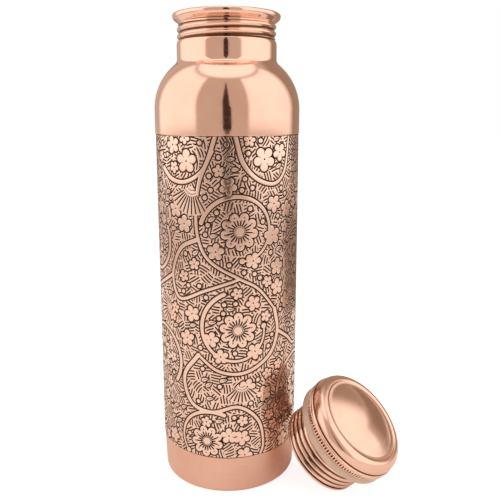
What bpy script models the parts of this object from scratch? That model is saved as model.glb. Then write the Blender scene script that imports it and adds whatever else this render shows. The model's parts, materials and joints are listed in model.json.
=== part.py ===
"""Copper water bottle: engraved tube, spun shoulder, rolled screw mouth, pressed base and screw lid.

The bottle stands on its base with its axis on Z, and the lid lies beside it, off the mouth,
leaning on the bottle's foot. Metres, +Z up, origin at the centre of the base.
"""

import math

import bpy
from mathutils import Matrix, Vector

# Sheet and fits
SHEET = 0.0008  # copper sheet of the vessel and of the lid's crown
MOUTH_SHEET = 0.0006  # thinner strip that the thread is rolled into
GAP = 0.0003  # brazed lap joints and seated pieces stand this far apart

# Vessel, measured from the table up
BODY_RADIUS = 0.0378
BODY_BOTTOM = 0.0213
BODY_TOP = 0.1894
LAP = 0.006  # how far a spigot reaches into the tube
BASE_BAND_RADIUS = BODY_RADIUS - 0.0003
BASE_FOOT_RADIUS = BODY_RADIUS - 0.0009
BASE_CORNER = 0.0028
SHOULDER_RADIUS = BODY_RADIUS + 0.0002
SHOULDER_SKIRT = 0.0125  # straight height above the seam
SHOULDER_ARC = 0.029
NECK_RADIUS = 0.0258
NECK_FILLET = 0.004
NECK_STRAIGHT = 0.0087
NECK_EDGE = 0.0024  # height over which the neck's top edge rounds inwards

# Screw mouth
THREAD_PITCH = 0.0034
THREAD_DEPTH = 0.0010
THREAD_TURNS = 2.4
THREAD_FADE = 0.0009  # height over which a thread runs out
MOUTH_SPIGOT = 0.005
MOUTH_SPIGOT_PLAY = 0.00045
LIP_CROWN = 0.00105  # height of the lip above its widest level
LIP_FLARE = 0.0022  # height of the lip below its widest level
LIP_OVERHANG = 0.00195  # how far the lip stands out past the neck
LIP_THROAT = 0.0016  # plain height between the thread and the lip

# Lid, measured along its own axis from the plug's end
THREAD_PLAY = 0.0003
PLUG_BEAD = 0.0008
PLUG_THREAD_START = 0.0012
PLUG_THREAD_RUN = 0.0014  # plain height between the thread and the gasket
PLUG_LENGTH = 0.0177
COLLAR_RADIUS = 0.0232
GASKET_RADIUS = 0.0290
GASKET_HEIGHT = 0.0044
RING_RADIUS = 0.0294
RING_HEIGHT = 0.0048
RING_BEAD_HEIGHT = 0.0020
CROWN_RADIUS = 0.0286
CROWN_SIDE = 0.0006
CROWN_SHOULDER_RADIUS = 0.0048
CROWN_VALLEY_RADIUS = 0.0221
CROWN_VALLEY_DEPTH = 0.0008
DOME_RISE = 0.0040

# How the lid lies on the table
LID_ELEVATION = math.radians(46.1)  # of the lid's axis above the table
LID_AZIMUTH = math.radians(-32.4)  # of the lid's axis about Z, from +X
LID_BEARING = math.radians(-20.4)  # of the plug's centre about Z, from +X

STEPS = 40
THREAD_ROWS = 5  # rows of points to one pitch

COPPER = (0.86, 0.53, 0.40, 1.0)
SILICONE = (0.68, 0.62, 0.55, 1.0)


def clear_scene():
    for obj in list(bpy.data.objects):
        bpy.data.objects.remove(obj, do_unlink=True)


def metal(name, color, roughness, metallic):
    material = bpy.data.materials.new(name)
    material.use_nodes = True
    shader = material.node_tree.nodes["Principled BSDF"]
    shader.inputs["Base Color"].default_value = color
    shader.inputs["Roughness"].default_value = roughness
    shader.inputs["Metallic"].default_value = metallic
    return material


def arc(radius, height, size, start, end, count, stretch=1.0):
    """Points on an arc in the profile plane; angles in degrees, 0 outwards and 90 up."""
    points = []
    for i in range(count + 1):
        angle = math.radians(start + (end - start) * i / count)
        points.append((radius + size * math.cos(angle), height + size * stretch * math.sin(angle)))
    return points


def add_object(name, mesh, material, collection, parent):
    mesh.materials.append(material)
    obj = bpy.data.objects.new(name, mesh)
    collection.objects.link(obj)
    obj.parent = parent
    return obj


def turned(name, profile, material, collection, parent=None):
    """A turned piece: the closed profile runs down the outer side and back up the inner one."""
    mesh = bpy.data.meshes.new(name)
    edges = [(i, (i + 1) % len(profile)) for i in range(len(profile))]
    edges = [(a, b) for a, b in edges if profile[a][0] + profile[b][0] > 0.0]
    mesh.from_pydata([(radius, 0.0, height) for radius, height in profile], edges, [])
    obj = add_object(name, mesh, material, collection, parent)
    screw = obj.modifiers.new("Turn", "SCREW")
    screw.axis = "Z"
    screw.angle = math.tau
    screw.steps = STEPS
    screw.render_steps = STEPS
    screw.use_smooth_shade = True
    screw.use_merge_vertices = True
    screw.merge_threshold = 0.00001
    return obj


def smoothstep(value):
    value = min(max(value, 0.0), 1.0)
    return value * value * (3.0 - 2.0 * value)


def thread_lift(height, angle, start, length):
    """Height of the right-hand rolled thread above its groove at one point of the wall."""
    turns = (height - start) / THREAD_PITCH - angle / math.tau
    crest = 0.5 + 0.5 * math.cos(math.tau * turns)
    fade_in = smoothstep((height - start) / THREAD_FADE)
    fade_out = smoothstep((start + length - height) / THREAD_FADE)
    return THREAD_DEPTH * crest * fade_in * fade_out


def threaded(name, profile, thread, material, collection, parent=None):
    """A turned piece whose flagged profile points follow a helical thread.

    profile holds (radius, height, follows) from the outer side's top down and up the inner one.
    """
    start, length = thread
    points = []
    rings = []
    for radius, height, follows in profile:
        if radius < GAP:
            rings.append([len(points)])
            points.append((0.0, 0.0, height))
            continue
        ring = []
        for i in range(STEPS):
            angle = math.tau * i / STEPS
            reach = radius + (thread_lift(height, angle, start, length) if follows else 0.0)
            ring.append(len(points))
            points.append((reach * math.cos(angle), reach * math.sin(angle), height))
        rings.append(ring)
    faces = []
    for upper, lower in zip(rings, rings[1:] + rings[:1]):
        if len(upper) == 1 and len(lower) == 1:
            continue
        for i in range(STEPS):
            j = (i + 1) % STEPS
            if len(upper) == 1:
                faces.append((upper[0], lower[i], lower[j]))
            elif len(lower) == 1:
                faces.append((upper[i], lower[0], upper[j]))
            else:
                faces.append((upper[i], lower[i], lower[j], upper[j]))
    mesh = bpy.data.meshes.new(name)
    mesh.from_pydata(points, [], faces)
    mesh.shade_smooth()
    mesh.set_sharp_from_angle(angle=math.radians(50))
    return add_object(name, mesh, material, collection, parent)


def flagged(profile):
    return [(radius, height, False) for radius, height in profile]


def thread_rows(radius, start, length):
    """Threaded wall points, bottom to top."""
    count = max(2, round(length / THREAD_PITCH * THREAD_ROWS))
    return [(radius, start + length * i / count, True) for i in range(count + 1)]


# Levels that follow from the sizes above
TUBE_INNER = BODY_RADIUS - SHEET
SPIGOT_RADIUS = TUBE_INNER - GAP
SKIRT_BOTTOM = BODY_TOP + GAP
SHOULDER_CENTRE = (SHOULDER_RADIUS - SHOULDER_ARC, BODY_TOP + SHOULDER_SKIRT)


def shoulder_curve(offset):
    """The shoulder arc, the fillet into the neck and the level where the neck starts.

    offset moves the curve inwards by the sheet's thickness for the inner side.
    """
    shoulder = SHOULDER_ARC - offset
    fillet = NECK_FILLET + offset
    neck = NECK_RADIUS - offset
    across = neck + fillet - SHOULDER_CENTRE[0]
    rise = math.sqrt((shoulder + fillet) ** 2 - across**2)
    meeting = math.degrees(math.atan2(rise, across))
    fillet_level = SHOULDER_CENTRE[1] + rise
    curve = arc(SHOULDER_CENTRE[0], SHOULDER_CENTRE[1], shoulder, 0.0, meeting, 9)
    curve += arc(neck + fillet, fillet_level, fillet, 180.0 + meeting, 180.0, 4)[1:]
    return curve, fillet_level


NECK_BOTTOM = shoulder_curve(0.0)[1]
NECK_TOP = NECK_BOTTOM + NECK_STRAIGHT


def body_tube(material, collection):
    profile = [
        (BODY_RADIUS, BODY_TOP),
        (BODY_RADIUS, BODY_BOTTOM),
        (TUBE_INNER, BODY_BOTTOM),
        (TUBE_INNER, BODY_TOP),
    ]
    return turned("engraved_body_tube", profile, material, collection)


def base_cup(material, collection):
    band_top = BODY_BOTTOM - GAP
    spigot_top = BODY_BOTTOM + LAP
    profile = [
        (SPIGOT_RADIUS, spigot_top),
        (SPIGOT_RADIUS, band_top),
        (BASE_BAND_RADIUS, band_top),
    ]
    profile += arc(BASE_FOOT_RADIUS - BASE_CORNER, BASE_CORNER, BASE_CORNER, 0.0, -90.0, 5)
    profile += [(0.0, 0.0), (0.0, SHEET)]
    inner_corner = BASE_CORNER - SHEET
    profile += arc(BASE_FOOT_RADIUS - BASE_CORNER, BASE_CORNER, inner_corner, -90.0, 0.0, 4)
    profile += [
        (BASE_BAND_RADIUS - SHEET, band_top - SHEET),
        (SPIGOT_RADIUS - SHEET, band_top - SHEET),
        (SPIGOT_RADIUS - SHEET, spigot_top),
    ]
    return turned("base_cup", profile, material, collection)


def shoulder_neck(material, collection):
    outer, _ = shoulder_curve(0.0)
    inner, _ = shoulder_curve(SHEET)
    spigot_bottom = SKIRT_BOTTOM - LAP
    profile = arc(NECK_RADIUS - SHEET, NECK_TOP - NECK_EDGE, SHEET, 90.0, 0.0, 4, NECK_EDGE / SHEET)
    profile += outer[::-1]
    profile += [
        (SHOULDER_RADIUS, SKIRT_BOTTOM),
        (SPIGOT_RADIUS, SKIRT_BOTTOM),
        (SPIGOT_RADIUS, spigot_bottom),
        (SPIGOT_RADIUS - SHEET, spigot_bottom),
        (SPIGOT_RADIUS - SHEET, SKIRT_BOTTOM + SHEET),
        (SHOULDER_RADIUS - SHEET, SKIRT_BOTTOM + SHEET),
    ]
    profile += inner
    return turned("shoulder_and_neck", profile, material, collection)


# The mouth's groove radius, and the plug's from it through the thread's play
MOUTH_GROOVE = NECK_RADIUS - SHEET - MOUTH_SPIGOT_PLAY
THREAD_BOTTOM = NECK_TOP + GAP
THREAD_LENGTH = THREAD_TURNS * THREAD_PITCH
THREAD_TOP = THREAD_BOTTOM + THREAD_LENGTH
LIP_LEVEL = THREAD_TOP + LIP_THROAT + LIP_FLARE
PLUG_GROOVE = MOUTH_GROOVE - MOUTH_SHEET - THREAD_PLAY
PLUG_CREST = PLUG_GROOVE + THREAD_DEPTH


def threaded_mouth(material, collection):
    inner_groove = MOUTH_GROOVE - MOUTH_SHEET
    lip_inner = inner_groove + THREAD_DEPTH
    lip_outer = NECK_RADIUS + LIP_OVERHANG
    lip_radius = (lip_outer - lip_inner) / 2
    lip_middle = (lip_outer + lip_inner) / 2
    spigot_bottom = NECK_TOP - MOUTH_SPIGOT
    outer = arc(lip_middle, LIP_LEVEL, lip_radius, 180.0, 0.0, 9, LIP_CROWN / lip_radius)
    outer += arc(lip_middle, LIP_LEVEL, lip_radius, 0.0, -72.0, 4, LIP_FLARE / lip_radius)[1:]
    thread_outer = thread_rows(MOUTH_GROOVE, THREAD_BOTTOM, THREAD_LENGTH)
    thread_inner = thread_rows(inner_groove, THREAD_BOTTOM, THREAD_LENGTH)
    profile = flagged(outer)
    profile += thread_outer[::-1]
    profile += flagged([(MOUTH_GROOVE, spigot_bottom), (inner_groove, spigot_bottom)])
    profile += thread_inner
    thread = (THREAD_BOTTOM, THREAD_LENGTH)
    return threaded("threaded_mouth", profile, thread, material, collection)


# Levels along the lid's axis
GASKET_BOTTOM = PLUG_LENGTH
GASKET_TOP = GASKET_BOTTOM + GASKET_HEIGHT
RING_BOTTOM = GASKET_TOP + GAP
RING_TOP = RING_BOTTOM + RING_HEIGHT
CROWN_BOTTOM = RING_TOP + GAP
CROWN_SHOULDER_LEVEL = CROWN_BOTTOM + CROWN_SIDE
CROWN_TOP = CROWN_SHOULDER_LEVEL + CROWN_SHOULDER_RADIUS
FLANGE_RADIUS = CROWN_RADIUS - SHEET - GAP


def plug_cup(material, collection, parent):
    """The threaded plug: a closed cup with its thread rolled in and a flange under the crown."""
    thread_length = GASKET_BOTTOM - PLUG_THREAD_RUN - PLUG_THREAD_START
    bore = PLUG_GROOVE - MOUTH_SHEET
    collar_bore = COLLAR_RADIUS - SHEET
    flange_bottom = RING_TOP + GAP
    flange_top = flange_bottom + SHEET
    wall = thread_rows(PLUG_GROOVE, PLUG_THREAD_START, thread_length)
    end_middle = PLUG_CREST - PLUG_BEAD
    profile = flagged([
        (FLANGE_RADIUS, flange_top),
        (FLANGE_RADIUS, flange_bottom),
        (COLLAR_RADIUS, flange_bottom),
        (COLLAR_RADIUS, GASKET_BOTTOM - GAP),
        (PLUG_GROOVE, GASKET_BOTTOM - 2 * GAP),
    ])
    profile += wall[::-1]
    profile += flagged(arc(end_middle, PLUG_BEAD, PLUG_BEAD, 40.0, -90.0, 5))
    profile += flagged([(0.0, 0.0), (0.0, SHEET), (bore, SHEET)])
    profile += flagged([(bore, GASKET_BOTTOM - 2 * GAP), (collar_bore, GASKET_BOTTOM)])
    profile += flagged([(collar_bore, flange_top)])
    thread = (PLUG_THREAD_START, thread_length)
    return threaded("lid_threaded_plug", profile, thread, material, collection, parent)


def gasket(material, collection, parent):
    bore = COLLAR_RADIUS + GAP
    edge = GASKET_HEIGHT / 6
    profile = [
        (bore, GASKET_TOP),
        (GASKET_RADIUS - edge, GASKET_TOP),
        (GASKET_RADIUS, GASKET_TOP - edge),
        (GASKET_RADIUS, GASKET_BOTTOM + edge),
        (GASKET_RADIUS - edge, GASKET_BOTTOM),
        (bore, GASKET_BOTTOM),
    ]
    return turned("lid_gasket", profile, material, collection, parent)


def knurled_ring(material, collection, parent):
    bore = COLLAR_RADIUS + GAP
    bead = RING_BEAD_HEIGHT / 2
    bead_level = RING_TOP - bead
    knurl_radius = RING_RADIUS - GAP
    profile = [(bore, RING_TOP)]
    profile += arc(RING_RADIUS - bead, bead_level, bead, 90.0, -60.0, 5)
    profile += [
        (knurl_radius, RING_TOP - RING_BEAD_HEIGHT - GAP),
        (knurl_radius, RING_BOTTOM + GAP),
        (knurl_radius - GAP, RING_BOTTOM),
        (bore, RING_BOTTOM),
    ]
    return turned("lid_knurled_ring", profile, material, collection, parent)


def crown_outline(offset):
    """The crown's outline from its centre to its open edge, inset by offset."""
    round_radius = CROWN_SHOULDER_RADIUS - offset
    shoulder_middle = CROWN_RADIUS - CROWN_SHOULDER_RADIUS
    valley = CROWN_TOP - CROWN_VALLEY_DEPTH - offset
    rows = 7
    outline = []
    for i in range(rows):
        share = i / rows
        outline.append((CROWN_VALLEY_RADIUS * share, valley + DOME_RISE * (1.0 - share**2)))
    outline.append((CROWN_VALLEY_RADIUS, valley))
    outline += arc(shoulder_middle, CROWN_SHOULDER_LEVEL, round_radius, 90.0, 0.0, 6)
    outline.append((CROWN_RADIUS - offset, CROWN_BOTTOM))
    return outline


def crown(material, collection, parent):
    profile = crown_outline(0.0)
    profile += crown_outline(SHEET)[::-1]
    return turned("lid_crown", profile, material, collection, parent)


def resting_distance(plug_radius):
    """Distance between the axes at which the plug's end just clears the bottle's side."""
    lean = Vector((math.cos(LID_AZIMUTH), math.sin(LID_AZIMUTH), 0.0)) * math.sin(LID_ELEVATION)
    across = Vector((-math.sin(LID_AZIMUTH), math.cos(LID_AZIMUTH), 0.0))
    bearing = Vector((math.cos(LID_BEARING), math.sin(LID_BEARING), 0.0))
    nearest = BODY_RADIUS + GAP
    low = nearest
    high = nearest + 2 * plug_radius
    for _ in range(40):
        middle = (low + high) / 2
        reach = min(
            (bearing * middle + plug_radius * (lean * math.cos(a) + across * math.sin(a))).length
            for a in (math.radians(i) for i in range(360))
        )
        if reach < nearest:
            low = middle
        else:
            high = middle
    return high


def lid_axis(collection):
    """The empty that the lid's pieces hang on: at the plug's end, with Z up the lid's axis."""
    distance = resting_distance(PLUG_CREST)
    direction = Vector((
        math.cos(LID_ELEVATION) * math.cos(LID_AZIMUTH),
        math.cos(LID_ELEVATION) * math.sin(LID_AZIMUTH),
        math.sin(LID_ELEVATION),
    ))
    centre = Vector((
        distance * math.cos(LID_BEARING),
        distance * math.sin(LID_BEARING),
        PLUG_CREST * math.cos(LID_ELEVATION),
    ))
    turn = direction.to_track_quat("Z", "Y").to_matrix().to_4x4()
    empty = bpy.data.objects.new("lid_axis", None)
    empty.matrix_world = Matrix.Translation(centre) @ turn
    collection.objects.link(empty)
    return empty


def main():
    clear_scene()
    collection = bpy.data.collections.new("copper_water_bottle")
    bpy.context.scene.collection.children.link(collection)
    engraved = metal("engraved_copper", COPPER, 0.35, 1.0)
    polished = metal("polished_copper", COPPER, 0.12, 1.0)
    satin = metal("satin_copper", COPPER, 0.38, 1.0)
    rubber = metal("silicone", SILICONE, 0.75, 0.0)
    body_tube(engraved, collection)
    base_cup(satin, collection)
    shoulder_neck(polished, collection)
    threaded_mouth(polished, collection)
    axis = lid_axis(collection)
    plug_cup(polished, collection, axis)
    gasket(rubber, collection, axis)
    knurled_ring(polished, collection, axis)
    crown(polished, collection, axis)


main()
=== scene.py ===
"""Looks of the copper water bottle: engraved copper, polished spun copper, knurling and silicone."""

import json
import math

import bpy
import numpy as np
from mathutils import Matrix, Vector


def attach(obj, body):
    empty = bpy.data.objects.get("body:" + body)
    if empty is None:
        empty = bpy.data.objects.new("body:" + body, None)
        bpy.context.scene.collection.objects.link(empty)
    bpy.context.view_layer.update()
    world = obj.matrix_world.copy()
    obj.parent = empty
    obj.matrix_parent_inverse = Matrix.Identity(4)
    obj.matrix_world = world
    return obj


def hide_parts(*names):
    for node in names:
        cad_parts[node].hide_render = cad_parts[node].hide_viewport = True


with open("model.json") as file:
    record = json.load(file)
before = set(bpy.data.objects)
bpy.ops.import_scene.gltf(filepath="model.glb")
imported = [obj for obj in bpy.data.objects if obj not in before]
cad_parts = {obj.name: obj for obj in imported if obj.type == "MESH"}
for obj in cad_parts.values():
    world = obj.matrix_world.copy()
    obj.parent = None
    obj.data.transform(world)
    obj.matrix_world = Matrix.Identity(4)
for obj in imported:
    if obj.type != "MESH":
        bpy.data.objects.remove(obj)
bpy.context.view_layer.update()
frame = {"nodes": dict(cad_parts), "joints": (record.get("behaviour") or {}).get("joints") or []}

# Sheet and fits, as in the CAD model, in metres
SHEET = 0.0008
MOUTH_SHEET = 0.0006
GAP = 0.0003
THREAD_PITCH = 0.0034
THREAD_DEPTH = 0.0010
THREAD_FADE = 0.0009

# Vessel, as in the CAD model where its nodes' boxes don't give the size
BASE_FOOT_RADIUS = 0.0369
BASE_CORNER = 0.0028
SHOULDER_SKIRT = 0.0125
SHOULDER_ARC = 0.029
NECK_RADIUS = 0.0258
NECK_FILLET = 0.004
NECK_EDGE = 0.0024
MOUTH_SPIGOT_PLAY = 0.00045
LIP_CROWN = 0.00105
LIP_FLARE = 0.0022
LIP_THROAT = 0.0016

# Lid, likewise, from the plug's end along the lid's axis
PLUG_BEAD = 0.0008
PLUG_THREAD_START = 0.0012
PLUG_THREAD_RUN = 0.0014
COLLAR_RADIUS = 0.0232
CROWN_SIDE = 0.0006
CROWN_SHOULDER_RADIUS = 0.0048
DOME_RISE = 0.0040

# Lid details drawn finer here than in the CAD model
KNURLS = 116
KNURL_DEPTH = 0.00045
KNURL_INSET = 0.0002  # of the ticked band inside the ring's widest radius
BAND_DROP = 0.0002  # from the bead's lower edge to the ticked band
RING_CHAMFER = 0.0003
RING_BEAD = 0.00085  # radius of the ring's rolled bead
RING_CREASE = 0.0006  # depth of the crease between the bead and the crown, coloured in painted shade
VALLEY_RADIUS = 0.0219
VALLEY_DEPTH = 0.0007
VALLEY_SPREAD = 0.0015  # over which the dome, valley and rim blend
CROWN_EDGE_RAISE = 0.0001  # of the crown's open edge above the CAD crown's

# Round pieces
ROUND_STEPS = 192
SHARP = math.radians(38)

# Engraving: the pattern is laid out flat in millimetres, u round the tube and v up it
MM = 0.001
PATTERN_REPEATS = 2
COLUMNS = 768
SECTORS = 6
GROOVE_DEPTH = 0.00007
SEED = 11
PITCH = 1.50  # between the strokes that comb the ground
STROKE = 0.37  # half a stroke's width
OUTLINE = 0.36  # half an outline's width
OUTLINE_MIDDLE = 0.26  # from a raised shape's edge out to the middle of its outline
GROUND_START = 0.75  # from a raised shape's edge out to where the strokes begin
FEATHER = 5.2  # size of one feather of strokes
FEATHER_BORDER = 0.5  # plain strip kept between two feathers
MOTIF_CLEARANCE = 1.1  # kept free round a scattered motif
GROOVE_SIDE = 0.30  # width over which a groove's side slopes
INK_RANGE = 0.4  # distance stored on either side of a line's edge
INK_FADE = 0.07  # distance over which the tarnish fades, on either side of a line's edge
FAR = 9.0  # distance where no shape or line is near
UNREACHED = 99.0  # distance to a feather's centre before any is placed


# ---------------------------------------------------------------- frame measures

def node_span(node, origin, axis):
    """(lowest height, highest height, largest radius) of a CAD node about an axis."""
    points = np.array([v.co for v in frame["nodes"][node].data.vertices]) - np.array(origin)
    heights = points @ np.array(axis)
    across = points - np.outer(heights, np.array(axis))
    return heights.min(), heights.max(), np.linalg.norm(across, axis=1).max()


UP = (0.0, 0.0, 1.0)
ZERO = (0.0, 0.0, 0.0)
TUBE_BOTTOM, TUBE_TOP, TUBE_RADIUS = node_span("engraved_body_tube", ZERO, UP)
_, SPIGOT_TOP, BASE_RADIUS = node_span("base_cup", ZERO, UP)
SPIGOT_BOTTOM, NECK_TOP, SHOULDER_RADIUS = node_span("shoulder_and_neck", ZERO, UP)
MOUTH_BOTTOM, BOTTLE_TOP, LIP_RADIUS = node_span("threaded_mouth", ZERO, UP)

LID_JOINT = [joint for joint in frame["joints"] if joint["name"] == "lid_turn"][0]
LID_ORIGIN = Vector(LID_JOINT["pos_m"])
LID_AXIS = Vector(LID_JOINT["axis"]).normalized()
_, PLUG_TOP, _ = node_span("lid_threaded_plug", LID_ORIGIN, LID_AXIS)
GASKET_BOTTOM, GASKET_TOP, GASKET_RADIUS = node_span("lid_gasket", LID_ORIGIN, LID_AXIS)
RING_BOTTOM, RING_TOP, RING_RADIUS = node_span("lid_knurled_ring", LID_ORIGIN, LID_AXIS)
CROWN_BOTTOM, _, CROWN_RADIUS = node_span("lid_crown", LID_ORIGIN, LID_AXIS)
LID_FRAME = (
    Matrix.Translation(LID_ORIGIN) @ LID_AXIS.to_track_quat("Z", "Y").to_matrix().to_4x4()
)


# ---------------------------------------------------------------- mesh helpers

def arc(radius, height, size, start, end, count, stretch=1.0):
    """Points on an arc in the profile plane; angles in degrees, 0 outwards and 90 up."""
    turns = [math.radians(start + (end - start) * i / count) for i in range(count + 1)]
    return [
        (radius + size * math.cos(a), height + size * stretch * math.sin(a)) for a in turns
    ]


def wall(radius, start, end, count):
    """Points up or down a straight wall of the profile."""
    return [(radius, start + (end - start) * i / count) for i in range(count + 1)]


def smoothstep(value):
    """Eases from 0 to 1."""
    value = min(max(value, 0.0), 1.0)
    return value * value * (3.0 - 2.0 * value)


def new_object(name, mesh, material, matrix):
    mesh.transform(matrix)
    mesh.materials.append(material)
    obj = bpy.data.objects.new(name, mesh)
    bpy.context.scene.collection.objects.link(obj)
    return obj


def lathe(name, profile, material, matrix=None, reach=None, steps=ROUND_STEPS):
    """A closed turned piece. The profile runs down the outer side and back up the inner one.

    reach(index, radius, height, angle) gives a point's own radius and how proud it stands, from
    0 at the bottom of a groove to 1, or None where the profile holds and the surface is plain.
    The grooved materials paint shade where a point stands low.
    """
    points = []
    proud = []
    rings = []
    for index, (radius, height) in enumerate(profile):
        if radius == 0.0:
            rings.append([len(points)])
            points.append((0.0, 0.0, height))
            proud.append(1.0)
            continue
        rings.append(list(range(len(points), len(points) + steps)))
        for i in range(steps):
            angle = math.tau * i / steps
            placed = reach(index, radius, height, angle) if reach else None
            local, share = placed or (radius, 1.0)
            proud.append(share)
            points.append((local * math.cos(angle), local * math.sin(angle), height))
    faces = []
    for upper, lower in zip(rings, rings[1:] + rings[:1]):
        if len(upper) == 1 and len(lower) == 1:
            continue
        for i in range(steps):
            j = (i + 1) % steps
            if len(upper) == 1:
                faces.append((upper[0], lower[i], lower[j]))
            elif len(lower) == 1:
                faces.append((upper[i], lower[0], upper[j]))
            else:
                faces.append((upper[i], lower[i], lower[j], upper[j]))
    mesh = bpy.data.meshes.new(name)
    mesh.from_pydata(points, [], faces)
    mesh.shade_smooth()
    mesh.set_sharp_from_angle(angle=SHARP)
    if reach is not None:
        mesh.attributes.new("proud", "FLOAT", "POINT").data.foreach_set("value", proud)
    return new_object(name, mesh, material, matrix or Matrix.Identity(4))


def thread_lift(height, angle, start, length):
    """Height of the right-hand rolled thread above its groove."""
    crest = 0.5 + 0.5 * math.cos(math.tau * ((height - start) / THREAD_PITCH - angle / math.tau))
    fade = smoothstep((height - start) / THREAD_FADE)
    fade *= smoothstep((start + length - height) / THREAD_FADE)
    return THREAD_DEPTH * crest**0.8 * fade


# ---------------------------------------------------------------- engraving

class Engraving:
    """Distance fields in mm on a grid over one repeat of the pattern.

    plain is below zero inside raised plain shapes, and ink is below zero inside cut lines.
    """

    def __init__(self):
        self.width = math.tau * TUBE_RADIUS / MM / PATTERN_REPEATS
        self.height = (TUBE_TOP - TUBE_BOTTOM) / MM
        self.columns = COLUMNS // PATTERN_REPEATS
        self.rows = round(self.height / (self.width / self.columns)) + 1
        self.v = np.linspace(0.0, self.height, self.rows)
        self.plain = np.full((self.rows, self.columns), FAR)
        self.ink = np.full((self.rows, self.columns), FAR)
        self.rng = np.random.default_rng(SEED)

    def patch(self, u, v, reach):
        """Grid slice round a point, with u and v measured from it. The grid wraps in u."""
        step = self.width / self.columns
        rows = np.flatnonzero(np.abs(self.v - v) <= reach)
        middle = round((u + self.width / 2) / step)
        span = min(int(reach / step) + 1, self.columns // 2 - 1)
        offsets = np.arange(middle - span, middle + span + 1)
        across = offsets * step - self.width / 2 - u
        cells = np.ix_(rows, offsets % self.columns)
        grid_u, grid_v = np.meshgrid(across, self.v[rows] - v)
        return cells, grid_u, grid_v

    def raise_shape(self, cells, distance):
        self.plain[cells] = np.minimum(self.plain[cells], distance)

    def cut(self, cells, distance):
        self.ink[cells] = np.minimum(self.ink[cells], distance)

    def cut_inside(self, cells, distance, inside):
        self.cut(cells, np.where(inside, distance, FAR))

    def disc(self, u, v, radius):
        cells, du, dv = self.patch(u, v, radius + 1.5)
        self.raise_shape(cells, np.hypot(du, dv) - radius)

    def dot(self, u, v, radius):
        cells, du, dv = self.patch(u, v, radius + 1.0)
        self.cut(cells, np.hypot(du, dv) - radius)

    def cell_at(self, u, v):
        """Row and column of the grid point nearest to a point."""
        row = int(np.clip(round(v / self.height * (self.rows - 1)), 0, self.rows - 1))
        column = round((u + self.width / 2) / self.width * self.columns) % self.columns
        return row, column

    def band(self, points, start_width, end_width):
        """A plain stem along a curve, tapering from one half width to the other."""
        for i, (a, b) in enumerate(zip(points, points[1:])):
            share = i / max(1, len(points) - 2)
            half = start_width + (end_width - start_width) * share
            middle = (a + b) / 2
            length = float(np.linalg.norm(b - a))
            cells, du, dv = self.patch(middle[0], middle[1], length / 2 + half + 3.0)
            along = (b - a) / max(length, 1e-6)
            t = np.clip(du * along[0] + dv * along[1], -length / 2, length / 2)
            self.raise_shape(cells, np.hypot(du - t * along[0], dv - t * along[1]) - half)

    def scroll(self, u, v, outer, inner, start, sweep, half):
        """A spiral stem round a centre, with a ball at its end; angles in degrees."""
        count = 44
        tip = 0.6
        points = []
        for i in range(count + 1):
            share = i / count
            angle = math.radians(start + sweep * share)
            radius = outer + (inner - outer) * share
            points.append(np.array([u + radius * math.cos(angle), v + radius * math.sin(angle)]))
        self.band(points, half, tip)
        end = points[-1]
        self.disc(end[0], end[1], tip + 0.9)

    def stem(self, knots, half, tip):
        """A smooth stem through its knots, tapering from half to tip."""
        knots = [np.array(k, float) for k in knots]
        padded = [2 * knots[0] - knots[1]] + knots + [2 * knots[-1] - knots[-2]]
        points = []
        for p0, p1, p2, p3 in zip(padded, padded[1:], padded[2:], padded[3:]):
            for t in np.linspace(0.0, 1.0, 9)[:-1]:
                points.append(0.5 * (
                    2 * p1 + (p2 - p0) * t + (2 * p0 - 5 * p1 + 4 * p2 - p3) * t**2
                    + (3 * p1 - p0 - 3 * p2 + p3) * t**3
                ))
        points.append(knots[-1])
        self.band(points, half, tip)

    def flower(self, u, v, radius, petals, turn):
        """A plain flower with round lobes, slits between them and a dot in the middle."""
        cells, du, dv = self.patch(u, v, radius + 1.5)
        distance = np.hypot(du, dv) - radius * 0.40
        for i in range(petals):
            angle = turn + math.tau * i / petals
            pu = radius * 0.62 * math.cos(angle)
            pv = radius * 0.62 * math.sin(angle)
            distance = np.minimum(distance, np.hypot(du - pu, dv - pv) - radius * 0.36)
        self.raise_shape(cells, distance)
        self.dot(u, v, 0.45)

    def rayed_flower(self, u, v, radius, turn):
        """A large flower: plain disc, ring of cut rays, and round petals with a dot each."""
        petals = 9
        rays = 20
        cells, du, dv = self.patch(u, v, radius + 2.0)
        reach = np.hypot(du, dv)
        bearing = np.arctan2(dv, du) - turn
        distance = reach - radius * 0.72
        for i in range(petals):
            angle = turn + math.tau * (i + 0.5) / petals
            pu = radius * 0.76 * math.cos(angle)
            pv = radius * 0.76 * math.sin(angle)
            distance = np.minimum(distance, np.hypot(du - pu, dv - pv) - radius * 0.24)
            self.dot(u + pu, v + pv, 0.38)
        self.raise_shape(cells, distance)
        spacing = math.tau / rays
        off_ray = np.abs((bearing + spacing / 2) % spacing - spacing / 2) * reach
        length = radius * (0.62 - 0.08 * np.cos(bearing * petals))
        in_ring = np.maximum(radius * 0.29 - reach, reach - length)
        self.cut(cells, np.maximum(off_ray - STROKE, in_ring))
        self.cut(cells, np.abs(reach - radius * 0.24) - 0.16)

    def fan(self, u, v, inner, outer, start, sweep, rays):
        """A fan of cut rays on a plain ground, with scalloped arcs at its root."""
        cells, du, dv = self.patch(u, v, outer + 1.5)
        reach = np.hypot(du, dv)
        bearing = (np.arctan2(dv, du) - math.radians(start)) % math.tau
        wide = math.radians(sweep)
        inside = bearing < wide
        spacing = wide / rays
        off_ray = np.abs((bearing % spacing) - spacing / 2) * reach
        half = np.minimum(STROKE, 0.27 * spacing * reach)
        rings = np.maximum(inner - reach, reach - outer)
        self.plain[cells] = np.where(
            inside & (reach < outer + 0.4), np.minimum(self.plain[cells], -0.5), self.plain[cells]
        )
        self.cut_inside(cells, np.maximum(off_ray - half, rings), inside)
        for share in (0.45, 0.8):
            self.cut_inside(cells, np.abs(reach - inner * share) - 0.17, inside)

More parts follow.
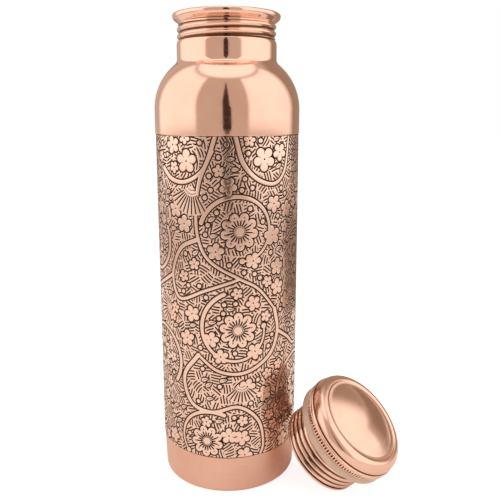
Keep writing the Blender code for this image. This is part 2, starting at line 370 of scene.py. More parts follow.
    def leaf(self, u, v, length, angle):
        """A pointed leaf with a cut midrib."""
        cells, du, dv = self.patch(u, v, length + 1.5)
        along = du * math.cos(angle) + dv * math.sin(angle)
        side = -du * math.sin(angle) + dv * math.cos(angle)
        share = np.clip(along / length, 0.0, 1.0)
        half = 0.36 * length * np.sqrt(share) * (1.0 - share) * 1.9
        outside = np.maximum(-along, along - length)
        distance = np.where(outside > 0, np.hypot(outside, side), np.abs(side) - half)
        self.raise_shape(cells, distance)
        rib = np.maximum(np.abs(side) - 0.15, np.maximum(length * 0.2 - along, along - length * 0.8))
        self.cut(cells, rib)

    def fill(self, radius, tries, place):
        """Drops a motif wherever a random point has room for it."""
        for _ in range(tries):
            u = self.rng.uniform(-self.width / 2, self.width / 2)
            v = self.rng.uniform(radius * 0.2, self.height - radius * 0.2)
            if self.plain[self.cell_at(u, v)] > radius + MOTIF_CLEARANCE:
                place(u, v, radius)

    def hatch(self):
        """Feathered strokes that comb the ground between the raised shapes."""
        across = round(self.width / FEATHER)
        up = round(self.height / FEATHER)
        slope_v, slope_u = np.gradient(self.plain, self.v[1] - self.v[0], self.width / self.columns)
        nearest = np.full(self.plain.shape, UNREACHED)
        second = np.full(self.plain.shape, UNREACHED)
        stroke = np.full(self.plain.shape, FAR)
        for i in range(across):
            for j in range(-1, up + 1):
                u = (i + self.rng.uniform(0.1, 0.9)) * self.width / across - self.width / 2
                v = (j + self.rng.uniform(0.1, 0.9)) * self.height / up
                slant = self.rng.uniform(0.35, 0.9) * self.rng.choice([-1.0, 1.0])
                bend = self.rng.uniform(-0.05, 0.05)
                here = self.cell_at(u, v)
                angle = math.atan2(slope_v[here], slope_u[here]) + slant
                cells, du, dv = self.patch(u, v, FEATHER * 1.7)
                gap = np.hypot(du, dv)
                along = du * math.cos(angle) + dv * math.sin(angle)
                side = -du * math.sin(angle) + dv * math.cos(angle) + bend * along**2
                line = np.abs((side / PITCH + 0.5) % 1.0 - 0.5) * PITCH - STROKE
                first = gap < nearest[cells]
                second[cells] = np.where(first, nearest[cells], np.minimum(second[cells], gap))
                stroke[cells] = np.where(first, line, stroke[cells])
                nearest[cells] = np.where(first, gap, nearest[cells])
        border = FEATHER_BORDER - (second - nearest)
        ground = GROUND_START - self.plain
        self.ink = np.minimum(self.ink, np.maximum(stroke, np.maximum(border, ground)))
        outline = np.abs(self.plain - OUTLINE_MIDDLE) - OUTLINE
        return np.minimum(self.ink, outline)


# Listed motifs. Their places are (u, v) in mm and come first in each row.
RAYED_FLOWERS = [  # radius, turn
    (7, 122, 9.6, 0.2), (6, 71, 9.6, 0.5), (-11, 9, 8.8, 0.1), (-44, 52, 8.8, 0.3),
    (48, 34, 8.8, 0.4), (-50, 112, 8.8, 0.0), (46, 108, 8.0, 0.6),
]
STEMS = [  # knots, first and last half width
    ([(-4, 170), (-8, 158), (-13, 146), (-15, 132), (-14, 118), (-8, 107), (7, 98), (17, 92),
      (27, 80)], 1.1, 0.7),
    ([(-37, 152), (-30, 147), (-21, 146), (-12, 151), (-6, 161)], 1.3, 0.8),
    ([(5, 168), (9, 155), (17, 147), (27, 145), (34, 152), (37, 168)], 1.2, 0.8),
    ([(27, 80), (29, 68), (24, 56), (10, 48), (-4, 49), (-15, 57)], 1.2, 0.8),
    ([(-15, 57), (-24, 44), (-20, 30), (-8, 26), (6, 29), (17, 20), (20, 6), (17, -2)], 1.2, 0.8),
    ([(-14, 118), (-25, 112), (-31, 98), (-26, 86), (-10, 92), (7, 98)], 1.1, 0.8),
    ([(-31, 98), (-42, 92), (-53, 88), (-63, 92)], 1.0, 0.7),
    ([(29, 68), (38, 62), (46, 56), (58, 58)], 1.0, 0.7),
]
SCROLLS = [  # outer and inner radius, start and sweep in degrees, first half width
    (7, 121, 20.0, 14.0, 165, -250, 1.15), (6, 71, 20.5, 14.0, 110, 255, 1.15),
    (-11, 8, 19.0, 13.0, 60, 150, 1.15), (-44, 52, 18.5, 12.5, -40, 280, 1.15),
    (48, 34, 19.0, 12.5, 200, -270, 1.15), (-50, 113, 17.5, 12.0, 30, -260, 1.15),
    (46, 108, 17.0, 11.5, 240, 260, 1.15), (50, 152, 12.5, 6.0, 250, 250, 1.0),
    (-52, 15, 13.0, 7.0, 100, -230, 1.0),
]
FANS = [  # inner and outer radius, start and sweep in degrees, rays
    (-17, 144, 5.0, 14.0, 200, 105, 10), (-33, 80, 4.6, 11.5, 150, 110, 9),
    (8, 42, 4.4, 10.5, 215, 110, 9), (40, 84, 4.4, 10.5, 20, 105, 9),
]
PETALS = 5
FLOWERS = [  # radius, turn
    (-20, 156, 6.0, 0.3), (20, 157, 6.2, 0.9), (-5, 112, 4.6, 0.2), (25, 119, 5.2, 0.5),
    (14, 107, 4.4, 0.0), (14, 85, 4.2, 0.7), (-8, 66, 4.4, 0.1), (-3, 57, 4.2, 0.4),
    (15, 59, 4.6, 1.0),
]


def draw_engraving():
    """Lays out scrolls, flowers, fans, leaves and berries, and combs the ground between them."""
    art = Engraving()
    for u, v, radius, turn in RAYED_FLOWERS:
        art.rayed_flower(u, v, radius, turn)
    for knots, half, tip in STEMS:
        art.stem(knots, half, tip)
    for row in SCROLLS:
        art.scroll(*row)
    for row in FANS:
        art.fan(*row)
    for u, v, radius, turn in FLOWERS:
        art.flower(u, v, radius, PETALS, turn)

    def any_turn():
        return art.rng.uniform(0.0, math.tau)

    art.fill(4.6, 160, lambda u, v, radius: art.flower(u, v, radius, PETALS, any_turn()))
    art.fill(3.2, 300, lambda u, v, radius: art.flower(u, v, radius, PETALS, any_turn()))
    art.fill(2.2, 500, lambda u, v, radius: art.leaf(u - 1.6, v, 4.2, any_turn() * 0.1))
    art.fill(1.2, 800, art.disc)
    return art.hatch()


def engraved_sectors(material):
    """The engraved skin in equal sectors: a fine grid whose cut lines are sunk into the metal."""
    ink = draw_engraving()
    rows, tile_columns = ink.shape
    ink = np.tile(ink, (1, PATTERN_REPEATS))
    ink = np.clip(ink, -INK_RANGE, INK_RANGE)
    # The skin's top and bottom rows take the cut lines' near-black colour, a painted shade line at each
    # seam.
    ink[[0, -1]] = -INK_RANGE
    columns = tile_columns * PATTERN_REPEATS
    sunk = np.clip(0.5 - ink / GROOVE_SIDE, 0.0, 1.0)
    sunk = sunk * sunk * (3.0 - 2.0 * sunk)
    radius = TUBE_RADIUS - GROOVE_DEPTH * sunk
    radius[[0, -1]] = TUBE_RADIUS - 2 * GROOVE_DEPTH
    heights = np.linspace(TUBE_BOTTOM, TUBE_TOP, rows)
    turn = -math.pi / 2 - math.pi / PATTERN_REPEATS
    angles = turn + np.arange(columns) * math.tau / columns
    pieces = []
    share = columns // SECTORS
    for sector in range(SECTORS):
        picks = (np.arange(share + 1) + sector * share) % columns
        r = radius[:, picks]
        a = np.broadcast_to(angles[picks], r.shape)
        z = np.broadcast_to(heights[:, None], r.shape)
        points = np.stack([r * np.cos(a), r * np.sin(a), z], axis=-1).reshape(-1, 3)
        index = np.arange(rows * (share + 1)).reshape(rows, share + 1)
        quads = np.stack(
            [index[:-1, :-1], index[:-1, 1:], index[1:, 1:], index[1:, :-1]], axis=-1
        ).reshape(-1, 4)
        name = f"engraved_skin_{sector + 1}"
        mesh = bpy.data.meshes.new(name)
        mesh.vertices.add(len(points))
        mesh.vertices.foreach_set("co", points.ravel())
        mesh.loops.add(quads.size)
        mesh.loops.foreach_set("vertex_index", quads.ravel())
        mesh.polygons.add(len(quads))
        mesh.polygons.foreach_set("loop_start", np.arange(0, quads.size, 4))
        mesh.update(calc_edges=True)
        mesh.shade_smooth()
        cut = mesh.attributes.new("cut", "FLOAT", "POINT")
        cut.data.foreach_set("value", ink[:, picks].ravel().astype(np.float32))
        pieces.append(new_object(name, mesh, material, Matrix.Identity(4)))
    return pieces


# ---------------------------------------------------------------- materials

def material_nodes(name):
    """A new material, its node tree and its Principled shader."""
    material = bpy.data.materials.new(name)
    material.use_nodes = True
    tree = material.node_tree
    return material, tree, tree.nodes["Principled BSDF"]


def add_node(tree, kind, **values):
    """A node with its properties or input sockets set by name."""
    node = tree.nodes.new(kind)
    for key, value in values.items():
        if hasattr(node, key):
            setattr(node, key, value)
        else:
            node.inputs[key].default_value = value
    return node


def noise(tree, scale, detail, roughness=0.55, stretch=(1.0, 1.0, 1.0)):
    """A noise texture in object coordinates, scale per metre, stretched along an axis."""
    coordinates = add_node(tree, "ShaderNodeTexCoord")
    mapping = add_node(tree, "ShaderNodeMapping")
    mapping.inputs["Scale"].default_value = stretch
    texture = add_node(tree, "ShaderNodeTexNoise", Scale=scale, Detail=detail, Roughness=roughness)
    tree.links.new(coordinates.outputs["Object"], mapping.inputs["Vector"])
    tree.links.new(mapping.outputs["Vector"], texture.inputs["Vector"])
    return texture.outputs["Fac"]


def map_range(tree, value, low, high, to_low, to_high):
    node = add_node(tree, "ShaderNodeMapRange")
    for key, number in zip(("From Min", "From Max", "To Min", "To Max"), (low, high, to_low, to_high)):
        node.inputs[key].default_value = number
    tree.links.new(value, node.inputs["Value"])
    return node.outputs["Result"]


def mix_color(tree, share, first, second):
    node = add_node(tree, "ShaderNodeMix", data_type="RGBA")
    a = [s for s in node.inputs if s.name == "A" and s.type == "RGBA"][0]
    b = [s for s in node.inputs if s.name == "B" and s.type == "RGBA"][0]
    for socket, value in ((a, first), (b, second)):
        if isinstance(value, tuple):
            socket.default_value = (*value, 1.0)
        else:
            tree.links.new(value, socket)
    tree.links.new(share, node.inputs["Factor"])
    return [s for s in node.outputs if s.type == "RGBA"][0]


def bump(tree, shader, height, distance):
    node = add_node(tree, "ShaderNodeBump", Strength=0.5, Distance=distance)
    tree.links.new(height, node.inputs["Height"])
    tree.links.new(node.outputs["Normal"], shader.inputs["Normal"])


COPPER_LIGHT = (0.95, 0.63, 0.50)
COPPER_DEEP = (0.87, 0.50, 0.37)
FACE_LIGHT = (0.98, 0.72, 0.60)
FACE_DEEP = (0.93, 0.62, 0.49)
CUT_DARK = (0.014, 0.006, 0.004)
CUT_BROWN = (0.035, 0.015, 0.010)
# painted shade for the grooves of the threads and ticks and for the ring's crease
GROOVE_SHADE = (0.15, 0.06, 0.03)
SATIN_LIGHT = (0.86, 0.54, 0.42)
SATIN_DEEP = (0.76, 0.42, 0.31)
SILICONE_LIGHT = (0.73, 0.54, 0.43)
SILICONE_DEEP = (0.66, 0.47, 0.37)
SPUN = (0.08, 0.08, 3.0)  # noise scale by axis, for marks that run round a turned piece
FINE_GRAIN = 0.00001  # height of spinning marks and grain, in metres
SILICONE_GRAIN = 0.00003


def copper(name, rough_low, rough_high, light=COPPER_LIGHT, deep=COPPER_DEEP):
    """Spun copper with faint clouding and fine turning marks."""
    material, tree, shader = material_nodes(name)
    cloud = noise(tree, 38.0, 4.0)
    marks = noise(tree, 260.0, 3.0, 0.6, SPUN)
    tint = mix_color(tree, map_range(tree, cloud, 0.35, 0.7, 0.0, 0.55), light, deep)
    tree.links.new(tint, shader.inputs["Base Color"])
    tree.links.new(map_range(tree, marks, 0.3, 0.7, rough_low, rough_high), shader.inputs["Roughness"])
    shader.inputs["Metallic"].default_value = 1.0
    bump(tree, shader, marks, FINE_GRAIN)
    return material


def engraved_copper():
    """Bright faces and near-black cut lines, told apart by the skin's cut attribute."""
    material, tree, shader = material_nodes("engraved_copper")
    attribute = add_node(tree, "ShaderNodeAttribute", attribute_name="cut")
    cut = map_range(tree, attribute.outputs["Fac"], -INK_FADE, INK_FADE, 1.0, 0.0)
    cloud = noise(tree, 60.0, 5.0)
    grain = noise(tree, 2600.0, 2.0)
    face = mix_color(tree, map_range(tree, cloud, 0.35, 0.7, 0.0, 1.0), FACE_LIGHT, FACE_DEEP)
    ink = mix_color(tree, map_range(tree, grain, 0.3, 0.7, 0.0, 1.0), CUT_DARK, CUT_BROWN)
    tint = mix_color(tree, cut, face, ink)
    tree.links.new(tint, shader.inputs["Base Color"])
    tree.links.new(map_range(tree, cut, 0.0, 1.0, 0.16, 0.75), shader.inputs["Roughness"])
    tree.links.new(map_range(tree, cut, 0.0, 1.0, 1.0, 0.0), shader.inputs["Metallic"])
    shader.inputs["Specular IOR Level"].default_value = 0.15
    bump(tree, shader, grain, FINE_GRAIN)
    return material


def grooved_copper(name, edge):
    """Polished copper with painted brown shade in its grooves, where proud is below edge."""
    material, tree, shader = material_nodes(name)
    attribute = add_node(tree, "ShaderNodeAttribute", attribute_name="proud")
    # groove masks the painted shade, which is strongest where the point stands lowest
    groove = map_range(tree, attribute.outputs["Fac"], edge - 0.15, edge + 0.15, 1.0, 0.0)
    marks = noise(tree, 260.0, 3.0)
    tint = mix_color(tree, groove, COPPER_LIGHT, GROOVE_SHADE)
    tree.links.new(tint, shader.inputs["Base Color"])
    tree.links.new(map_range(tree, marks, 0.3, 0.7, 0.08, 0.14), shader.inputs["Roughness"])
    shader.inputs["Metallic"].default_value = 1.0
    return material


def silicone():
    """Pale, slightly cloudy silicone with a matt face."""
    material, tree, shader = material_nodes("silicone")
    grain = noise(tree, 1800.0, 3.0)
    cloud = noise(tree, 90.0, 2.0)
    tint = mix_color(tree, map_range(tree, cloud, 0.3, 0.7, 0.0, 1.0), SILICONE_DEEP, SILICONE_LIGHT)
    tree.links.new(tint, shader.inputs["Base Color"])
    tree.links.new(map_range(tree, grain, 0.3, 0.7, 0.5, 0.7), shader.inputs["Roughness"])
    shader.inputs["Subsurface Weight"].default_value = 0.1
    shader.inputs["Subsurface Scale"].default_value = 0.002
    bump(tree, shader, grain, SILICONE_GRAIN)
    return material


POLISHED = copper("polished_copper", 0.07, 0.13)
SOFT = copper("soft_copper", 0.15, 0.22)
# Threaded and ticked copper carry painted shade in their grooves.
THREADED = grooved_copper("threaded_copper", 0.33)
TICKED = grooved_copper("ticked_copper", 0.5)
SATIN = copper("satin_copper", 0.26, 0.36, SATIN_LIGHT, SATIN_DEEP)
INNER = copper("inner_copper", 0.30, 0.45)
ENGRAVED = engraved_copper()
SILICONE = silicone()


# ---------------------------------------------------------------- vessel

def show(piece, body, node):
    """Puts a finished piece on its body, in place of its CAD node."""
    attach(piece, body)
    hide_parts(node)


def vessel_tube():
    """The engraved skin and the plain wall behind it."""
    skin_back = TUBE_RADIUS - 2 * GROOVE_DEPTH
    inner = TUBE_RADIUS - SHEET
    profile = [(skin_back, TUBE_TOP), (skin_back, TUBE_BOTTOM), (inner, TUBE_BOTTOM), (inner, TUBE_TOP)]
    tube = lathe("tube_wall", profile, INNER)
    show(tube, "bottle", "engraved_body_tube")
    for piece in engraved_sectors(ENGRAVED):
        show(piece, "bottle", "engraved_body_tube")


def shoulder_curve(offset):
    """The shoulder arc and the fillet into the neck, inset by offset for the inner side."""
    shoulder = SHOULDER_ARC - offset
    fillet = NECK_FILLET + offset
    neck = NECK_RADIUS - offset
    centre = (SHOULDER_RADIUS - SHOULDER_ARC, TUBE_TOP + SHOULDER_SKIRT)
    across = neck + fillet - centre[0]
    rise = math.sqrt((shoulder + fillet) ** 2 - across**2)
    meeting = math.degrees(math.atan2(rise, across))
    curve = arc(centre[0], centre[1], shoulder, 0.0, meeting, 40)
    curve += arc(neck + fillet, centre[1] + rise, fillet, 180.0 + meeting, 180.0, 14)[1:]
    return curve


def vessel_shoulder():
    """The spun shoulder and neck, from the neck's rounded top edge to the spigot in the tube."""
    skirt_bottom = TUBE_TOP + GAP
    spigot = TUBE_RADIUS - SHEET - GAP
    edge = 0.00025
    outer = shoulder_curve(0.0)
    profile = arc(NECK_RADIUS - SHEET, NECK_TOP - NECK_EDGE, SHEET, 90.0, 0.0, 14, NECK_EDGE / SHEET)
    profile += outer[::-1]
    profile += arc(SHOULDER_RADIUS - edge, skirt_bottom + edge, edge, 0.0, -90.0, 4)
    profile += [
        (spigot, skirt_bottom),
        (spigot, SPIGOT_BOTTOM),
        (spigot - SHEET, SPIGOT_BOTTOM),
        (spigot - SHEET, skirt_bottom + SHEET),
        (SHOULDER_RADIUS - SHEET, skirt_bottom + SHEET),
    ]
    profile += shoulder_curve(SHEET)
    piece = lathe("spun_shoulder", profile, POLISHED)
    show(piece, "bottle", "shoulder_and_neck")


MOUTH_GROOVE = NECK_RADIUS - SHEET - MOUTH_SPIGOT_PLAY
LIP_LEVEL = BOTTLE_TOP - LIP_CROWN
THREAD_BOTTOM = NECK_TOP + GAP
THREAD_TOP = LIP_LEVEL - LIP_FLARE - LIP_THROAT


def vessel_mouth():
    """The mouth: a rolled lip, the rolled thread in both sides of the sheet, and the spigot."""
    inner_groove = MOUTH_GROOVE - MOUTH_SHEET
    lip_inner = inner_groove + THREAD_DEPTH
    lip_radius = (LIP_RADIUS - lip_inner) / 2
    lip_middle = (LIP_RADIUS + lip_inner) / 2
    lip = arc(lip_middle, LIP_LEVEL, lip_radius, 180.0, 0.0, 24, LIP_CROWN / lip_radius)
    lip += arc(lip_middle, LIP_LEVEL, lip_radius, 0.0, -72.0, 12, LIP_FLARE / lip_radius)[1:]
    rows = 44
    outer = wall(MOUTH_GROOVE, THREAD_TOP, THREAD_BOTTOM, rows)
    inner = wall(inner_groove, THREAD_BOTTOM, THREAD_TOP, rows)
    profile = lip + outer
    profile += [(MOUTH_GROOVE, MOUTH_BOTTOM), (inner_groove, MOUTH_BOTTOM)]
    profile += inner
    first_outer = len(lip)
    first_inner = first_outer + rows + 3

    def reach(index, radius, height, angle):
        on_outer = first_outer <= index <= first_outer + rows
        if on_outer or index >= first_inner:
            lift = thread_lift(height, angle, THREAD_BOTTOM, THREAD_TOP - THREAD_BOTTOM)
            # The thread's grooves take painted shade through proud; over the thread's top that shade is
            # left out.
            unshaded = smoothstep(1.0 - (THREAD_TOP - height) / THREAD_DEPTH)
            return radius + lift, max(unshaded, lift / THREAD_DEPTH)
        return None

    piece = lathe("rolled_mouth", profile, THREADED, None, reach)
    show(piece, "bottle", "threaded_mouth")


def vessel_base():
    """The pressed base cup: its spigot in the tube, the band, the rounded corner and the floor."""
    band_top = TUBE_BOTTOM - GAP
    spigot = TUBE_RADIUS - SHEET - GAP
    corner_middle = BASE_FOOT_RADIUS - BASE_CORNER
    edge = 0.0004
    profile = [(spigot, SPIGOT_TOP), (spigot, band_top)]
    profile += arc(BASE_RADIUS - edge, band_top - edge, edge, 90.0, 0.0, 6)
    profile += arc(corner_middle, BASE_CORNER, BASE_CORNER, 0.0, -90.0, 16)
    profile += [(0.0, 0.0), (0.0, SHEET)]
    profile += arc(corner_middle, BASE_CORNER, BASE_CORNER - SHEET, -90.0, 0.0, 10)
    profile += [
        (BASE_RADIUS - SHEET, band_top - SHEET),
        (spigot - SHEET, band_top - SHEET),
        (spigot - SHEET, SPIGOT_TOP),
    ]
    piece = lathe("satin_base", profile, SATIN)
    show(piece, "bottle", "base_cup")


# ---------------------------------------------------------------- lid

PLUG_GROOVE = MOUTH_GROOVE - MOUTH_SHEET - GAP
PLUG_THREAD_LENGTH = GASKET_BOTTOM - PLUG_THREAD_RUN - PLUG_THREAD_START


def lid_plug():
    """The plug: a closed threaded cup, a collar for the seal and ring, and a flange in the crown."""
    bore = PLUG_GROOVE - MOUTH_SHEET
    collar_bore = COLLAR_RADIUS - SHEET
    flange = CROWN_RADIUS - SHEET - GAP
    rows = 84
    head = [
        (flange, PLUG_TOP),
        (flange, PLUG_TOP - SHEET),
        (COLLAR_RADIUS, PLUG_TOP - SHEET),
        (COLLAR_RADIUS, GASKET_BOTTOM - GAP),
        (PLUG_GROOVE, GASKET_BOTTOM - 2 * GAP),
    ]
    profile = head + wall(PLUG_GROOVE, PLUG_THREAD_START + PLUG_THREAD_LENGTH, PLUG_THREAD_START, rows)
    profile += arc(PLUG_GROOVE + THREAD_DEPTH - PLUG_BEAD, PLUG_BEAD, PLUG_BEAD, 50.0, -90.0, 14)
    profile += [(0.0, 0.0), (0.0, SHEET), (bore, SHEET)]
    profile += [(bore, GASKET_BOTTOM - 2 * GAP), (collar_bore, GASKET_BOTTOM), (collar_bore, PLUG_TOP)]
    first = len(head)

    def reach(index, radius, height, angle):
        if first <= index <= first + rows:
            lift = thread_lift(height, angle, PLUG_THREAD_START, PLUG_THREAD_LENGTH)
            # proud follows the thread, so the thread's grooves take painted shade.
            return radius + lift, lift / THREAD_DEPTH
        return None

    piece = lathe("screw_plug", profile, THREADED, LID_FRAME, reach)
    show(piece, "lid", "lid_threaded_plug")


def lid_gasket():
    """The silicone seal, a ring with rounded outer edges."""
    bore = COLLAR_RADIUS + GAP
    edge = (GASKET_TOP - GASKET_BOTTOM) / 6
    profile = [(bore, GASKET_TOP)]
    profile += arc(GASKET_RADIUS - edge, GASKET_TOP - edge, edge, 90.0, 0.0, 6)
    profile += arc(GASKET_RADIUS - edge, GASKET_BOTTOM + edge, edge, 0.0, -90.0, 6)
    profile += [(bore, GASKET_BOTTOM)]
    piece = lathe("silicone_seal", profile, SILICONE, LID_FRAME)
    show(piece, "lid_seal", "lid_gasket")


def lid_ring():
    """The ring: a crease in painted shade, a bright rolled bead and a band of fine upright ticks below
    it, with painted shade in the ticks' grooves.
    """
    bore = COLLAR_RADIUS + GAP
    edge = 0.0001
    knurl = RING_RADIUS - KNURL_INSET
    bead_top = RING_TOP - RING_CREASE
    band_top = bead_top - 2 * RING_BEAD - BAND_DROP
    profile = [(bore, RING_TOP)]
    profile += arc(CROWN_RADIUS - RING_CREASE, RING_TOP - edge, edge, 90.0, 0.0, 2)
    crease_end = len(profile)
    profile += arc(RING_RADIUS - RING_BEAD, bead_top - RING_BEAD, RING_BEAD, 80.0, -70.0, 14)
    first = len(profile)
    band = wall(knurl, band_top, RING_BOTTOM + RING_CHAMFER, 8)
    profile += band
    profile += [(knurl - RING_CHAMFER, RING_BOTTOM), (bore, RING_BOTTOM)]

    def reach(index, radius, height, angle):
        # The tick grooves stand low in proud, so they take painted shade.
        if first < index < first + len(band) - 1:
            tick = smoothstep(1.5 * math.cos(angle * KNURLS) + 0.15)
            return radius - KNURL_DEPTH * tick, 1.0 - tick
        # The crease is marked proud 0, so it is coloured in painted shade.
        if 0 < index <= crease_end:
            return radius, 0.0
        return None

    piece = lathe("ticked_ring", profile, TICKED, LID_FRAME, reach, KNURLS * 6)
    show(piece, "lid", "lid_knurled_ring")


def crown_outline(offset):
    """The crown from its centre to its open edge, inset by offset."""
    shoulder_level = CROWN_BOTTOM + CROWN_SIDE
    middle = CROWN_RADIUS - CROWN_SHOULDER_RADIUS
    valley = shoulder_level + CROWN_SHOULDER_RADIUS - VALLEY_DEPTH - offset
    run = middle - VALLEY_RADIUS

    def level(radius):
        """The dome, the valley round it and the rise to the rim."""
        share = radius / VALLEY_RADIUS
        if share < 1.0:
            return valley + DOME_RISE * (1.0 - share**2)
        return valley + VALLEY_DEPTH * smoothstep((radius - VALLEY_RADIUS) / run)

    rows = 80
    outline = []
    for i in range(rows):
        radius = middle * i / rows
        spread = min(VALLEY_SPREAD, middle - radius)
        around = [level(radius + spread * (k / 5.0 - 1.0)) for k in range(11)]
        outline.append((radius, sum(around) / len(around)))
    outline += arc(middle, shoulder_level, CROWN_SHOULDER_RADIUS - offset, 90.0, 0.0, 30)
    outline.append((CROWN_RADIUS - offset, CROWN_BOTTOM + CROWN_EDGE_RAISE))
    return outline


def lid_crown():
    """The domed crown, a shell that is open below."""
    profile = crown_outline(0.0) + crown_outline(SHEET)[::-1]
    piece = lathe("domed_crown", profile, SOFT, LID_FRAME)
    show(piece, "lid", "lid_crown")


# ---------------------------------------------------------------- studio

ROOM = (0.62, 0.52, 0.45)
SOFTBOX = (1.25, 1.20, 1.13)
TOP_LIGHT = (1.30, 1.26, 1.20)
BACK_SHADE = (0.38, 0.29, 0.22)
LOW_SHADE = (0.30, 0.21, 0.15)
FRONT_GAP = (0.05, 0.032, 0.024)
GAP_EDGES = [  # height in metres, left and right bearing in degrees
    (0.02, -1.0, 4.5), (0.07, -4.8, 8.4), (0.24, -4.8, 7.8), (0.32, -5.2, 5.4),
    (0.45, -5.0, 4.8), (0.7, -3.4, 3.4), (1.3, -0.8, -0.2),
]
INNER_FADE = 5.0  # degrees over which a softbox's two sides fade
OUTER_FADE = 14.0
BOTTOM_FADE = 0.10  # shares of its height over which its bottom and top fade
TOP_FADE = 0.25
NEAR_FLOOR = 0.5  # half widths of the two floors
SEEN_FLOOR = 6.0


def round_point(distance, bearing, height):
    """A point round the object; bearing in degrees from the front, right positive."""
    angle = math.radians(bearing - 90.0)
    return distance * math.cos(angle), distance * math.sin(angle), height


def card(name, points, faces, color, glow):
    """A studio card that lights and reflects but isn't seen; glow below 1 fades it into the room."""
    mesh = bpy.data.meshes.new(name)
    mesh.from_pydata(points, [], faces)
    mesh.attributes.new("glow", "FLOAT", "POINT").data.foreach_set("value", glow)
    material = bpy.data.materials.new(name)
    material.use_nodes = True
    tree = material.node_tree
    tree.nodes.clear()
    output = tree.nodes.new("ShaderNodeOutputMaterial")
    light = tree.nodes.new("ShaderNodeEmission")
    attribute = add_node(tree, "ShaderNodeAttribute", attribute_name="glow")
    tree.links.new(mix_color(tree, attribute.outputs["Fac"], ROOM, color), light.inputs["Color"])
    tree.links.new(light.outputs["Emission"], output.inputs["Surface"])
    obj = new_object(name, mesh, material, Matrix.Identity(4))
    obj.visible_camera = False
    return obj


def softbox(name, distance, inner, outer, heights, color):
    """A curved card with soft edges, from bearing inner to outer; the inner edge fades fastest."""
    steps = 30
    span = outer - inner
    bottom, top = heights
    points = []
    glow = []
    for i in range(steps + 1):
        for j in range(steps + 1):
            up = j / steps
            turn = span * i / steps
            points.append(round_point(distance, inner + turn, bottom + (top - bottom) * up))
            edge = smoothstep(abs(turn) / INNER_FADE) * smoothstep(abs(span - turn) / OUTER_FADE)
            glow.append(edge * smoothstep(up / BOTTOM_FADE) * smoothstep((1.0 - up) / TOP_FADE))
    row = steps + 1
    faces = [
        (i * row + j, (i + 1) * row + j, (i + 1) * row + j + 1, i * row + j + 1)
        for i in range(steps) for j in range(steps)
    ]
    return card(name, points, faces, color, glow)


def disc(name, radius, height, color, soft):
    """A flat round card whose rim fades over the share soft of its radius."""
    steps = 48
    points = [(0.0, 0.0, height)]
    for share in (1.0 - soft, 1.0):
        for i in range(steps):
            points.append(round_point(radius * share, 90.0 + 360.0 * i / steps, height))
    faces = [(0, i + 1, (i + 1) % steps + 1) for i in range(steps)]
    faces += [
        (i + 1, i + 1 + steps, (i + 1) % steps + 1 + steps, (i + 1) % steps + 1) for i in range(steps)
    ]
    glow = [1.0] * (steps + 1) + [0.0] * steps
    return card(name, points, faces, color, glow)


def dark_gap(distance):
    """The dark gap between the softboxes, in front of the object."""
    points = [
        round_point(distance, bearing, height) for height, *sides in GAP_EDGES for bearing in sides
    ]
    faces = [(2 * i, 2 * i + 1, 2 * i + 3, 2 * i + 2) for i in range(len(GAP_EDGES) - 1)]
    card("front_gap", points, faces, FRONT_GAP, [1.0] * len(points))


def ground(name, wide, height, color, roughness, emission, strength):
    """A square of floor that also glows a little, so that it stays pale."""
    material, _, shader = material_nodes(name)
    shader.inputs["Base Color"].default_value = (*color, 1.0)
    shader.inputs["Roughness"].default_value = roughness
    shader.inputs["Emission Color"].default_value = (*emission, 1.0)
    shader.inputs["Emission Strength"].default_value = strength
    mesh = bpy.data.meshes.new(name)
    corners = [(-wide, -wide, height), (wide, -wide, height), (wide, wide, height), (-wide, wide, height)]
    mesh.from_pydata(corners, [], [(0, 1, 2, 3)])
    obj = new_object(name, mesh, material, Matrix.Identity(4))
    return obj


def floors():
    """A near floor that only bounces and reflects, and a wide one that only the camera sees."""
    near = ground(
        "floor_bounce", NEAR_FLOOR, -0.0004, (0.95, 0.92, 0.89), 1.0, (1.0, 0.95, 0.90), 0.12
    )
    near.visible_camera = False
    seen = ground("floor", SEEN_FLOOR, -0.0002, (0.50, 0.53, 0.56), 0.9, (0.97, 0.99, 1.0), 0.80)
    seen.visible_glossy = False
    seen.visible_diffuse = False
    seen.visible_shadow = False


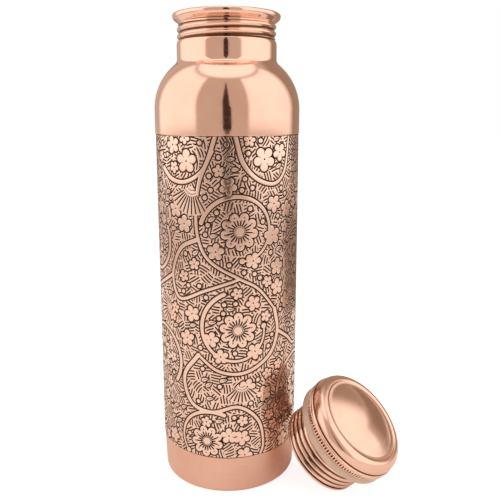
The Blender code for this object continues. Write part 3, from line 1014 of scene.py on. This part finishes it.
def room():
    """A warm grey room in reflections, and plain white to the camera."""
    world = bpy.data.worlds.new("studio")
    world.use_nodes = True
    tree = world.node_tree
    tree.nodes.clear()
    output = tree.nodes.new("ShaderNodeOutputWorld")
    walls = add_node(tree, "ShaderNodeBackground", Strength=1.0)
    walls.inputs["Color"].default_value = (*ROOM, 1.0)
    seen = add_node(tree, "ShaderNodeBackground", Strength=1.0)
    seen.inputs["Color"].default_value = (1.0, 1.0, 1.0, 1.0)
    path = tree.nodes.new("ShaderNodeLightPath")
    blend = tree.nodes.new("ShaderNodeMixShader")
    tree.links.new(path.outputs["Is Camera Ray"], blend.inputs[0])
    tree.links.new(walls.outputs[0], blend.inputs[1])
    tree.links.new(seen.outputs[0], blend.inputs[2])
    tree.links.new(blend.outputs[0], output.inputs["Surface"])
    bpy.context.scene.world = world


def studio():
    """The cards, floors and room round the object, and the plain view transform."""
    softbox("left_softbox", 0.9, -44.0, -134.0, (-0.05, 1.9), SOFTBOX)
    softbox("right_softbox", 0.9, 32.0, 124.0, (-0.05, 1.9), SOFTBOX)
    softbox("back_shade", 1.0, 205.0, 85.0, (-0.3, 1.6), BACK_SHADE)
    low_shade = softbox("low_shade", 0.3, 165.0, 95.0, (0.0, 0.13), LOW_SHADE)
    low_shade.visible_diffuse = False
    low_shade.visible_shadow = False
    dark_gap(0.8)
    disc("top_softbox", 0.42, 0.9, TOP_LIGHT, 0.2)
    floors()
    room()
    bpy.context.scene.view_settings.view_transform = "Standard"


CAMERA_PLACE = (0.012, -0.336, 0.1991)
CAMERA_TILT = 12.25  # degrees below level
LENS = 44.64  # mm, on a 36 mm sensor


def camera():
    data = bpy.data.cameras.new("camera")
    data.sensor_width = 36.0
    data.lens = LENS
    data.clip_start = 0.01
    obj = bpy.data.objects.new("camera", data)
    obj.location = CAMERA_PLACE
    obj.rotation_euler = (math.radians(90.0 - CAMERA_TILT), 0.0, 0.0)
    bpy.context.scene.collection.objects.link(obj)
    bpy.context.scene.camera = obj


camera()
studio()
vessel_tube()
vessel_shoulder()
vessel_mouth()
vessel_base()
lid_plug()
lid_gasket()
lid_ring()
lid_crown()

bpy.context.view_layer.update()
